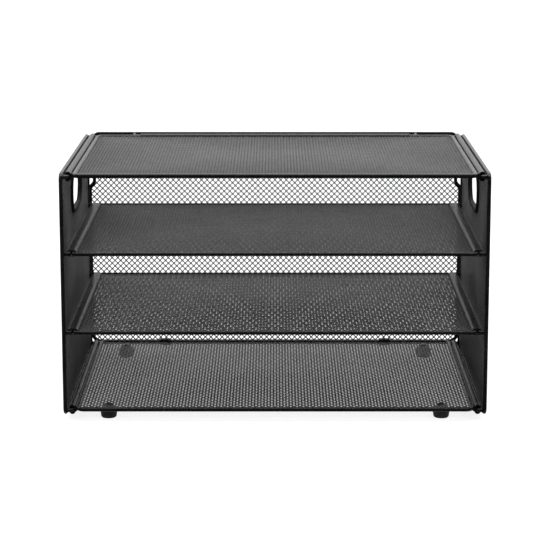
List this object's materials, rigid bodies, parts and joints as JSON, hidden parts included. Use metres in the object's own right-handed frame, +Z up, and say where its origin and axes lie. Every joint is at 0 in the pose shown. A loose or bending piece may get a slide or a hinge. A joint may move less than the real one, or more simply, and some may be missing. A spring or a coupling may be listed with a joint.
{
  "type": "letter tray",
  "caption": "Folding desk letter tray of black wire and expanded metal mesh: a base tray and open shelves under a mesh top, between side panels with handle holes, on rubber feet",
  "frame": {"origin": "centre of the object's box at the feet's undersides, on the table", "axes": "+X to the right along the open front, +Y from the open front to the back panel, +Z up"},
  "size_m": [0.34, 0.242, 0.2029],
  "materials": {
    "wire_steel": "black powder coat on steel wire, semi-gloss with a fine orange-peel grain",
    "mesh_steel": "black powder coat on flattened expanded-metal mesh, satin",
    "sheet_steel": "black powder coat on rolled sheet steel, semi-gloss",
    "rim_plastic": "moulded black plastic, matt with a fine grain",
    "clip_plastic": "moulded black nylon, satin",
    "foot_rubber": "dark grey-black moulded rubber, matt",
    "rivet_steel": "black coated steel, semi-gloss"
  },
  "bodies": {
    "base": {"base_frame": "wire_steel", "base_left_tube": "sheet_steel", "base_mesh": "mesh_steel", "base_right_tube": "sheet_steel", "foot_front_left": "foot_rubber", "foot_front_right": "foot_rubber", "foot_rear_left": "foot_rubber", "foot_rear_right": "foot_rubber", "foot_rivets": "rivet_steel"},
    "left_side": {"left_base_rod": "wire_steel", "left_frame": "wire_steel", "left_handle_inner_rim": "rim_plastic", "left_handle_outer_rim": "rim_plastic", "left_lower_rod": "wire_steel", "left_mesh": "mesh_steel", "left_top_rod": "wire_steel", "left_upper_rod": "wire_steel"},
    "right_side": {"right_base_rod": "wire_steel", "right_frame": "wire_steel", "right_handle_inner_rim": "rim_plastic", "right_handle_outer_rim": "rim_plastic", "right_lower_rod": "wire_steel", "right_mesh": "mesh_steel", "right_top_rod": "wire_steel", "right_upper_rod": "wire_steel"},
    "lower_shelf": {"lower_shelf_frame": "wire_steel", "lower_shelf_left_sleeve": "sheet_steel", "lower_shelf_mesh": "mesh_steel", "lower_shelf_right_sleeve": "sheet_steel"},
    "upper_shelf": {"upper_shelf_frame": "wire_steel", "upper_shelf_left_sleeve": "sheet_steel", "upper_shelf_mesh": "mesh_steel", "upper_shelf_right_sleeve": "sheet_steel"},
    "top_panel": {"top_frame": "wire_steel", "top_left_tube": "sheet_steel", "top_mesh": "mesh_steel", "top_right_tube": "sheet_steel"},
    "back_panel": {"back_clips": "clip_plastic", "back_frame": "wire_steel", "back_hinge_rod": "wire_steel", "back_hinge_sleeve": "sheet_steel", "back_mesh": "mesh_steel"}
  },
  "joints": [
    {"name": "rack_fold", "type": "hinge", "parent": "base", "child": "left_side", "pos_m": [-0.1631, 0, 0.009], "axis": [0, 1, 0], "range_deg": [0, 82]},
    {"name": "right_side_fold", "type": "hinge", "parent": "base", "child": "right_side", "pos_m": [0.1631, 0, 0.009], "axis": [0, 1, 0], "range_deg": [0, 82]},
    {"name": "lower_shelf_fold", "type": "hinge", "parent": "left_side", "child": "lower_shelf", "pos_m": [-0.1631, 0, 0.0731], "axis": [0, 1, 0], "range_deg": [-82, 0]},
    {"name": "upper_shelf_fold", "type": "hinge", "parent": "left_side", "child": "upper_shelf", "pos_m": [-0.1631, 0, 0.1369], "axis": [0, 1, 0], "range_deg": [-82, 0]},
    {"name": "top_panel_fold", "type": "hinge", "parent": "left_side", "child": "top_panel", "pos_m": [-0.1631, 0, 0.1985], "axis": [0, 1, 0], "range_deg": [-82, 0]},
    {"name": "back_panel_swing", "type": "hinge", "parent": "top_panel", "child": "back_panel", "pos_m": [0, 0.11035, 0.1994], "axis": [1, 0, 0], "range_deg": [0, 90]}
  ],
  "couplings": [
    {"joint": "right_side_fold", "follows": "rack_fold", "ratio": 1},
    {"joint": "lower_shelf_fold", "follows": "rack_fold", "ratio": -1},
    {"joint": "upper_shelf_fold", "follows": "rack_fold", "ratio": -1},
    {"joint": "top_panel_fold", "follows": "rack_fold", "ratio": -1},
    {"joint": "back_panel_swing", "follows": "rack_fold", "ratio": 1.0975}
  ]
}
